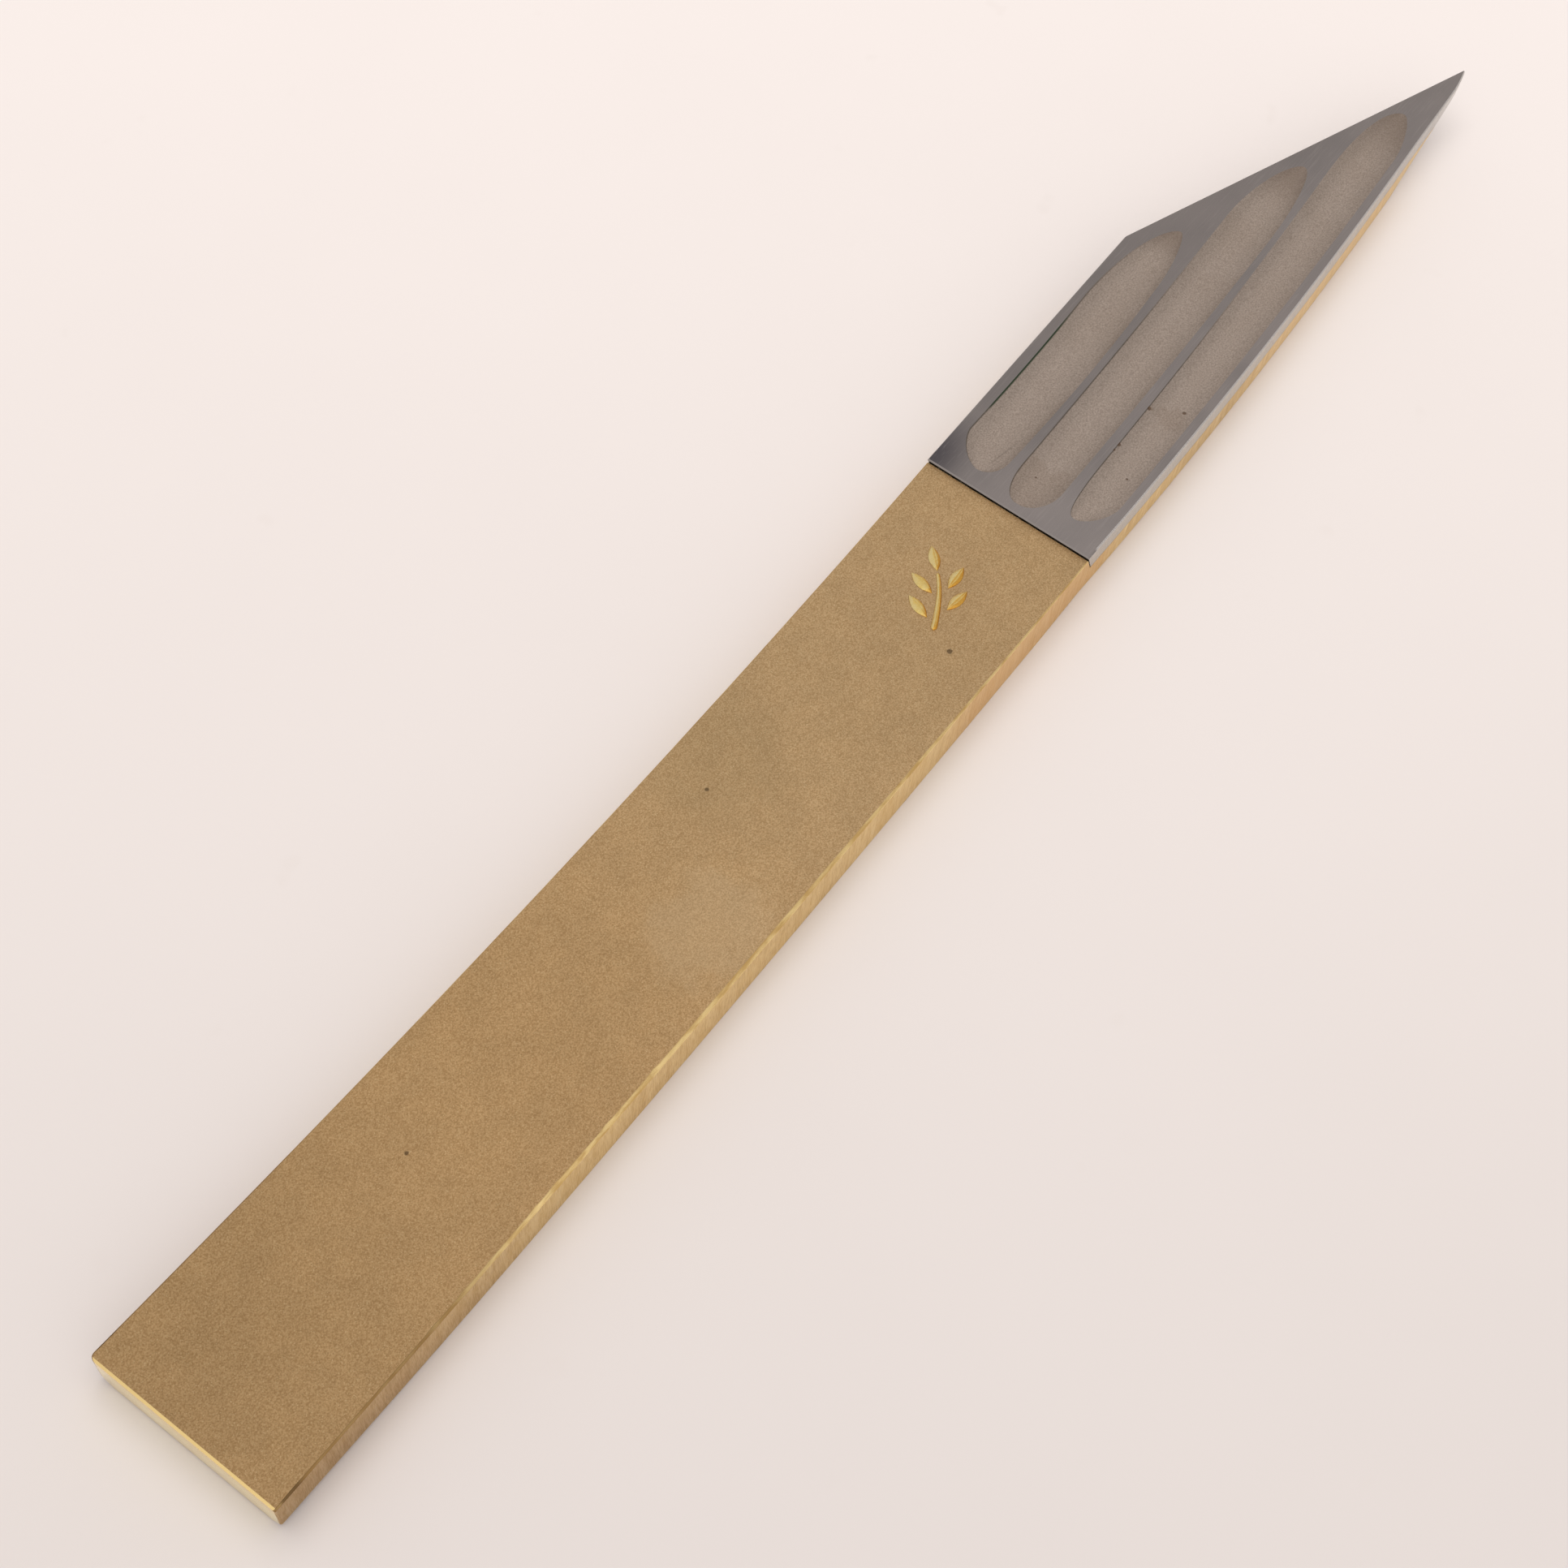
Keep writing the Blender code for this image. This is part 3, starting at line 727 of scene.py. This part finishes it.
def top_chamfer(x):
    """Width of the right top edge's bevel: narrow at the ends, with small nicks."""
    width = 0.15 + 0.14 * smooth_step(4.0, 40.0, x) - 0.2 * smooth_step(60.0, 104.0, x)
    width += 0.025 * wander(x, 4.0, 3.1) + 0.012 * wander(x, 0.9, 8.4)
    for nick_x in NICKS_X:
        width += 0.07 * math.exp(-(((x - nick_x) / 0.45) ** 2))
    return max(width, 0.06)


def bottom_round(x):
    """The underside's edges are rounded off more towards the tail."""
    return 0.12 + 0.75 * (1 - smooth_step(-4.0, 24.0, x)) + 0.25 * smooth_step(99.0, 106.0, x)


def corner_inset(x, radius):
    """How far a rounded plan corner lies inside the side at a distance from the end."""
    if x >= radius:
        return 0.0
    return radius - math.sqrt(radius ** 2 - (radius - x) ** 2)


def brass_ring(x):
    """The brass bar's section at a station, drawn in where the tail's corners are broken."""
    right = right_edge(x) + corner_inset(x, TAIL_CORNER_RIGHT)
    left = blank_left_edge(x) - corner_inset(x, TAIL_CORNER_LEFT)
    drop = max(0.0, TAIL_CHAMFER - x)
    low = 0.6 * drop
    left_chamfer = 0.09 + 0.012 * wander(x, 3.0, 5.5)
    breaks = (bottom_round(x), top_chamfer(x), left_chamfer, bottom_round(x))
    ring = section(right, left, low, BRASS_TOP - drop, breaks)
    return [place(x, y, z) for y, z in ring]


def brass_stations():
    """Stations along the brass bar: dense at the tail, then even, then coarser in front."""
    tail = [0.0, 0.03, 0.08, 0.14, 0.2, 0.3, 0.5]
    return tail + spaced(0.8, JOINT_X, 213) + spaced(JOINT_X + 1.0, 182.0, 76)


def prism(name, profile, material):
    """A side profile in x and z carried across the knife, as a cutter."""
    shape = bmesh.new()
    sides = []
    for y in (-CUTTER_HALF_WIDTH, CUTTER_HALF_WIDTH):
        sides.append([shape.verts.new(place(x, y, z)) for x, z in profile])
    near, far = sides
    shape.faces.new(near)
    shape.faces.new(reversed(far))
    count = len(profile)
    for i in range(count):
        j = (i + 1) % count
        shape.faces.new((near[i], far[i], far[j], near[j]))
    return object_from(shape, name, [material])


def rear_line(z):
    """Where the steel's leaning rear face stands at a height."""
    return JOINT_X + (STEEL_TOP - z) * math.tan(SHOULDER_LEAN)


def seat_cutter(material):
    """What is cut out of the brass for the steel and its solder."""
    floor = STEEL_BOTTOM - SEAT_FILM
    profile = [
        (rear_line(floor) - JOINT_GAP, floor),
        (POINT[0] + 10.0, floor),
        (POINT[0] + 10.0, 3 * STEEL_TOP),
        (rear_line(3 * STEEL_TOP) - JOINT_GAP, 3 * STEEL_TOP),
    ]
    return prism("seat_cutter", profile, material)


def make_brass(materials):
    stations = brass_stations()
    rings = [brass_ring(x) for x in stations]

    def finish(index, strip):
        if stations[index] < TAIL_CHAMFER and strip == TOP_STRIP:
            return POLISHED
        return SECTION_FINISHES[strip]

    shape = loft(rings, finish, (POLISHED, BRUSHED))
    trim_to_bevel(shape, BRUSHED)
    body = object_from(shape, "brass_bar", materials)
    cutters = [seat_cutter(materials[BRUSHED])]
    cutters += [pocket_cutter(name, outline, materials[EDGE]) for name, outline in strokes()]
    cut_with(body, cutters)
    finish_shading(body)
    return body


# ------------------------------------------------------------ steel blade

FLAT, SIDE, HOLLOW = range(3)
STEEL_FINISHES = (
    SIDE, SIDE, SIDE, SIDE,
    SIDE, SIDE, SIDE, FLAT,
    SIDE, SIDE, SIDE, SIDE,
    SIDE, SIDE, SIDE, SIDE,
)


def rounded_end(t, fullness):
    """0 to 1 round the quarter of a superellipse."""
    return (1 - (1 - clamp01(t)) ** fullness) ** (1 / fullness)


def rim_line(x, rear, front, rim):
    """One rim of a hollow grind: a bowed line that rounds off into both ends."""
    rear_y, front_y, bow, rear_run, rear_fullness, front_run, front_fullness = rim
    t = (x - rear[0]) / (front[0] - rear[0])
    base = mix_value(rear_y, front_y, t) + bow * 4 * t * (1 - t)
    if t < 0.5:
        return mix_value(rear[1], base, rounded_end((x - rear[0]) / rear_run, rear_fullness))
    return mix_value(front[1], base, rounded_end((front[0] - x) / front_run, front_fullness))


def hollow_cutter(name, spec, material):
    """A boat-shaped cutter: rows of a shallow arc between the rims, drawn upward."""
    columns = 150
    rows = 22
    reach = 1.05
    rear, front = spec["rear"], spec["front"]
    widest = max(
        rim_line(x, rear, front, spec["left"]) - rim_line(x, rear, front, spec["right"])
        for x in spaced(rear[0], front[0], 60)
    )
    shape = bmesh.new()
    hollow_map = shape.loops.layers.uv.new(HOLLOW_MAP)
    spots = {}
    grid = []
    for i in range(columns + 1):
        t = (1 - math.cos(math.pi * mix_value(0.012, 0.988, i / columns))) / 2
        x = mix_value(rear[0], front[0], t)
        right = rim_line(x, rear, front, spec["right"])
        left = rim_line(x, rear, front, spec["left"])
        middle = (left + right) / 2
        half = (left - right) / 2
        depth = HOLLOW_DEPTH * (2 * half / widest) ** 1.6
        row = []
        for j in range(rows + 1):
            v = reach * mix_value(-1.0, 1.0, j / rows)
            z = STEEL_TOP - depth * (1 - v * v)
            vertex = shape.verts.new(place(x, middle + v * half, z))
            spots[vertex] = (v, t)
            row.append(vertex)
        grid.append(row)
    faces = []
    for a, b in zip(grid, grid[1:]):
        for j in range(rows):
            face = shape.faces.new((a[j], a[j + 1], b[j + 1], b[j]))
            for loop in face.loops:
                loop[hollow_map].uv = spots[loop.vert]
            faces.append(face)
    drawn = bmesh.ops.extrude_face_region(shape, geom=faces)
    for part in drawn["geom"]:
        if isinstance(part, bmesh.types.BMVert):
            part.co.z = (STEEL_TOP + 1.0) * MM
    return object_from(shape, name, [material])


def steel_ring(x):
    chamfer = STEEL_CHAMFER + 0.01 * wander(x, 3.0, 1.7)
    ring = section(
        right_edge(x), blank_left_edge(x), STEEL_BOTTOM, STEEL_TOP, (0.03, chamfer, 0.05, 0.03)
    )
    return [place(x, y, z) for y, z in ring]


def rear_cutter(material):
    """What is cut off behind the leaning rear face and its broken top edge."""
    low = -STEEL_TOP
    high = 3 * STEEL_TOP
    break_z = STEEL_TOP - STEEL_CHAMFER
    behind = JOINT_X - 30.0
    profile = [
        (behind, low),
        (rear_line(low), low),
        (rear_line(break_z), break_z),
        (rear_line(break_z) + high - break_z, high),
        (behind, high),
    ]
    return prism("rear_cutter", profile, material)


def make_steel(materials):
    rings = [steel_ring(x) for x in spaced(JOINT_X - 4.0, POINT[0], 150)]
    shape = loft(rings, lambda index, strip: STEEL_FINISHES[strip], (SIDE, SIDE))
    trim_to_bevel(shape, SIDE)
    blade = object_from(shape, "steel_plate", materials)
    cutters = [rear_cutter(materials[SIDE])]
    for name, spec in HOLLOWS.items():
        cutters.append(hollow_cutter("hollow_" + name, spec, materials[HOLLOW]))
    cut_with(blade, cutters)
    finish_shading(blade)
    return blade


# ----------------------------------------------------------------- solder


def make_solder(material):
    """The film in the seat and the uneven bead that fills the joint's gap."""
    shape = bmesh.new()
    low = STEEL_BOTTOM - SEAT_FILM * 0.85
    high = STEEL_BOTTOM - SEAT_FILM * 0.15
    rows = []
    count = 61
    for i in range(count):
        t = i / (count - 1)
        y = mix_value(right_edge(JOINT_X) + 0.06, left_edge(JOINT_X) - 0.06, t)
        top = SOLDER_TOP + 0.14 * wander(y * 10, 7.0, 2.2) + 0.1 * wander(y * 10, 1.6, 4.9)
        profile = [
            (rear_line(low) - JOINT_GAP * 0.95, low),
            (rear_line(high) + 0.3, low),
            (rear_line(high) + 0.3, high),
            (rear_line(high) - JOINT_GAP * 0.06, high),
            (rear_line(top) - JOINT_GAP * 0.06, top),
            (rear_line(top) - JOINT_GAP * 0.5, top + 0.05),
            (rear_line(top) - JOINT_GAP * 0.95, top),
        ]
        rows.append([shape.verts.new(place(x, y, z)) for x, z in profile])
    size = len(rows[0])
    for a, b in zip(rows, rows[1:]):
        for j in range(size):
            k = (j + 1) % size
            shape.faces.new((a[j], a[k], b[k], b[j]))
    shape.faces.new(rows[0])
    shape.faces.new(rows[-1])
    seam = object_from(shape, "solder_bead", [material])
    finish_shading(seam, 40.0)
    return seam


# ------------------------------------------------------------------ sprig


def bezier(points, t):
    """A point on a cubic curve."""
    a, b, c, d = points
    s = 1 - t
    weights = (s ** 3, 3 * s * s * t, 3 * s * t * t, t ** 3)
    x = sum(w * p[0] for w, p in zip(weights, (a, b, c, d)))
    y = sum(w * p[1] for w, p in zip(weights, (a, b, c, d)))
    return x, y


def leaf_spine(centre_x, centre_y, degrees, count=25):
    """Stations down a leaf's middle: place, heading and half width."""
    turn = math.radians(degrees)
    spine = []
    for i in range(count):
        t = mix_value(-1.0, 1.0, i / (count - 1))
        along = t * LEAF_LENGTH / 2
        half = LEAF_WIDTH / 2 * (1 - t * t)
        x = ORNAMENT[0] + centre_x + along * math.cos(turn)
        y = ORNAMENT[1] + centre_y + along * math.sin(turn)
        spine.append((x, y, turn, half))
    return spine


def stem_spine(count=41):
    """Stations along the stem, like a leaf's."""
    spine = []
    for i in range(count):
        t = i / (count - 1)
        x, y = bezier(STEM_POINTS, t)
        ahead = bezier(STEM_POINTS, t + 0.01)
        turn = math.atan2(ahead[1] - y, ahead[0] - x)
        half = STEM_WIDTH / 2 * (1 - 0.45 * t)
        half *= rounded_end(t / 0.06, 2.0) * rounded_end((1 - t) / 0.05, 2.0)
        spine.append((ORNAMENT[0] + x, ORNAMENT[1] + y, turn, half))
    return spine


def strokes():
    """Each inlay piece's name and spine."""
    pieces = [("inlay_stem", stem_spine())]
    for name, (x, y, degrees) in LEAVES.items():
        pieces.append((name, leaf_spine(x, y, degrees)))
    return pieces


def across(spine_point, offset):
    """The point an offset to the left of a spine's station."""
    x, y, turn, _ = spine_point
    return x - offset * math.sin(turn), y + offset * math.cos(turn)


def pocket_cutter(name, spine, material):
    """The cut that a stroke of gold sits in, a hair wider than the gold."""
    shape = bmesh.new()
    left = []
    right = []
    for point in spine:
        half = max(point[3], THINNEST_HALF) + POCKET_GAP
        left.append(across(point, half))
        right.append(across(point, -half))
    outline = left + list(reversed(right))
    low = [shape.verts.new(place(x, y, BRASS_TOP - POCKET_DEPTH)) for x, y in outline]
    high = [shape.verts.new(place(x, y, BRASS_TOP + 1.0)) for x, y in outline]
    shape.faces.new(low)
    shape.faces.new(reversed(high))
    count = len(outline)
    for i in range(count):
        j = (i + 1) % count
        shape.faces.new((low[i], high[i], high[j], low[j]))
    return object_from(shape, "pocket_" + name, [material])


def make_stroke(name, spine, material):
    """A crowned stroke of gold with a chiselled furrow along its middle."""
    columns = 12
    shape = bmesh.new()
    top = []
    bottom = []
    for point in spine:
        half = max(point[3], THINNEST_HALF)
        fullness = min(1.0, half / (LEAF_WIDTH * 0.3))
        top_row = []
        bottom_row = []
        for j in range(columns + 1):
            v = mix_value(-1.0, 1.0, j / columns)
            px, py = across(point, v * half)
            crown = (1 - abs(v) ** 1.6) * INLAY_CROWN * fullness
            furrow = 0.05 * fullness * math.exp(-(((v + 0.15) / 0.16) ** 2))
            chatter = 0.03 * fullness * noise.noise(Vector((px * 4, py * 4, 1.3)))
            rise = INLAY_EDGE_Z + crown - furrow + chatter * (1 - v ** 4)
            top_row.append(shape.verts.new(place(px, py, BRASS_TOP + rise)))
            floor = BRASS_TOP - POCKET_DEPTH * 0.9
            bottom_row.append(shape.verts.new(place(px, py, floor)))
        top.append(top_row)
        bottom.append(bottom_row)
    for a, b in zip(top, top[1:]):
        for j in range(columns):
            shape.faces.new((a[j], b[j], b[j + 1], a[j + 1]))
    for a, b in zip(bottom, bottom[1:]):
        for j in range(columns):
            shape.faces.new((a[j], a[j + 1], b[j + 1], b[j]))
    for i in range(len(spine) - 1):
        for j in (0, columns):
            shape.faces.new((top[i][j], top[i + 1][j], bottom[i + 1][j], bottom[i][j]))
    for i in (0, len(spine) - 1):
        for j in range(columns):
            shape.faces.new((top[i][j], top[i][j + 1], bottom[i][j + 1], bottom[i][j]))
    piece = object_from(shape, name.replace("inlay", "gold"), [material])
    finish_shading(piece, 50.0)
    return piece


# ------------------------------------------------------- stage and camera

TABLE_HALF_SIZE = 4.0
TABLE_CELLS = 160
TABLE_RIPPLE = 0.0004

# The room is one colour, with a brighter round patch low behind the camera. The patch is
# full out to its inner angle and gone at its outer angle, both in degrees.
ROOM_COLOR = (0.60, 0.56, 0.54)
PATCH_TOWARD = (-135.0, 5.0)
PATCH_COLOR = (0.95, 0.90, 0.86)
PATCH_INNER = 40.0
PATCH_OUTER = 85.0

# Overhead softbox for the table, kept out of the metal's reflections.
SOFTBOX_TOWARD = (60.0, 83.0)
SOFTBOX_DISTANCE = 0.9
SOFTBOX_SIZE = (0.8, 0.8)
SOFTBOX_WATTS = 3.8
SOFTBOX_COLOR = (1.0, 0.97, 0.95)

# Camera: lens in millimetres, its place in design coordinates, and its own axes.
CAMERA_LENS = 55.03
CAMERA_PLACE = (-18.94, -54.21, 178.27)
CAMERA_RIGHT = (0.59601, -0.80048, 0.06330)
CAMERA_UP = (0.67023, 0.53934, 0.50981)


def make_table():
    """A gently uneven table top under the knife."""
    shape = bmesh.new()
    bmesh.ops.create_grid(
        shape, x_segments=TABLE_CELLS, y_segments=TABLE_CELLS, size=TABLE_HALF_SIZE
    )
    for vertex in shape.verts:
        away = math.hypot(vertex.co.x, vertex.co.y)
        ripple = TABLE_RIPPLE * noise.noise(vertex.co * 4.0)
        vertex.co.z = -0.00002 + (ripple - TABLE_RIPPLE) * smooth_step(0.15, 0.6, away)
    table = object_from(shape, "table_top", [table_finish()])
    for polygon in table.data.polygons:
        polygon.use_smooth = True


def make_softbox():
    """A large soft light over the knife, aimed at its middle."""
    aim = place(92.5, 0.0, 0.0)
    spot = aim + direction(*SOFTBOX_TOWARD) * SOFTBOX_DISTANCE
    data = bpy.data.lights.new("overhead_softbox", "AREA")
    data.shape = "RECTANGLE"
    data.size, data.size_y = SOFTBOX_SIZE
    data.energy = SOFTBOX_WATTS
    data.color = SOFTBOX_COLOR
    item = new_object("overhead_softbox", data)
    item.location = spot
    item.rotation_euler = (aim - spot).to_track_quat("-Z", "Y").to_euler()
    item.visible_glossy = False


def make_world():
    """A soft room: pale all round, brighter low behind the camera."""
    world = bpy.data.worlds.new("studio")
    bpy.context.scene.world = world
    world.use_nodes = True
    tree = world.node_tree
    coords = tree.nodes.new("ShaderNodeTexCoord")
    dot = tree.nodes.new("ShaderNodeVectorMath")
    dot.operation = "DOT_PRODUCT"
    dot.inputs[1].default_value = direction(*PATCH_TOWARD)
    tree.links.new(coords.outputs["Generated"], dot.inputs[0])
    edge = tree.nodes.new("ShaderNodeMapRange")
    edge.interpolation_type = "SMOOTHSTEP"
    edge.inputs["From Min"].default_value = math.cos(math.radians(PATCH_OUTER))
    edge.inputs["From Max"].default_value = math.cos(math.radians(PATCH_INNER))
    tree.links.new(dot.outputs["Value"], edge.inputs["Value"])
    mixed = tree.nodes.new("ShaderNodeMix")
    mixed.data_type = "RGBA"
    mixed.inputs[6].default_value = (*ROOM_COLOR, 1.0)
    mixed.inputs[7].default_value = (*PATCH_COLOR, 1.0)
    tree.links.new(edge.outputs[0], mixed.inputs[0])
    background = tree.nodes["Background"]
    tree.links.new(mixed.outputs[2], background.inputs["Color"])
    background.inputs["Strength"].default_value = 1.0


def make_camera():
    """The camera, from its axes: it looks along minus right x up."""
    data = bpy.data.cameras.new("camera")
    data.sensor_width = 36.0
    data.lens = CAMERA_LENS
    data.clip_start = 0.01
    item = new_object("camera", data)
    right = Vector(CAMERA_RIGHT)
    up = Vector(CAMERA_UP)
    turned = Matrix((right, up, right.cross(up))).transposed().to_4x4()
    item.matrix_world = Matrix.Translation(place(*CAMERA_PLACE)) @ turned
    bpy.context.scene.camera = item


def main():
    bpy.context.scene.view_settings.view_transform = "Standard"
    brass = [blasted_brass(), brushed_brass(), edge_brass(), polished_brass()]
    steel = [satin_steel(), ground_steel(), hollow_steel()]
    gold = gold_leaf()
    pieces = [
        (make_brass(brass), "brass_body", "brass"),
        (make_steel(steel), "steel_blade", "tool_steel"),
        (make_solder(solder_metal()), "solder_seam", "solder"),
    ]
    for name, spine in strokes():
        pieces.append((make_stroke(name, spine, gold), name, "gold"))
    for piece, node, slot in pieces:
        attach(piece, "root")
        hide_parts(node)
    make_table()
    make_world()
    make_softbox()
    make_camera()


main()
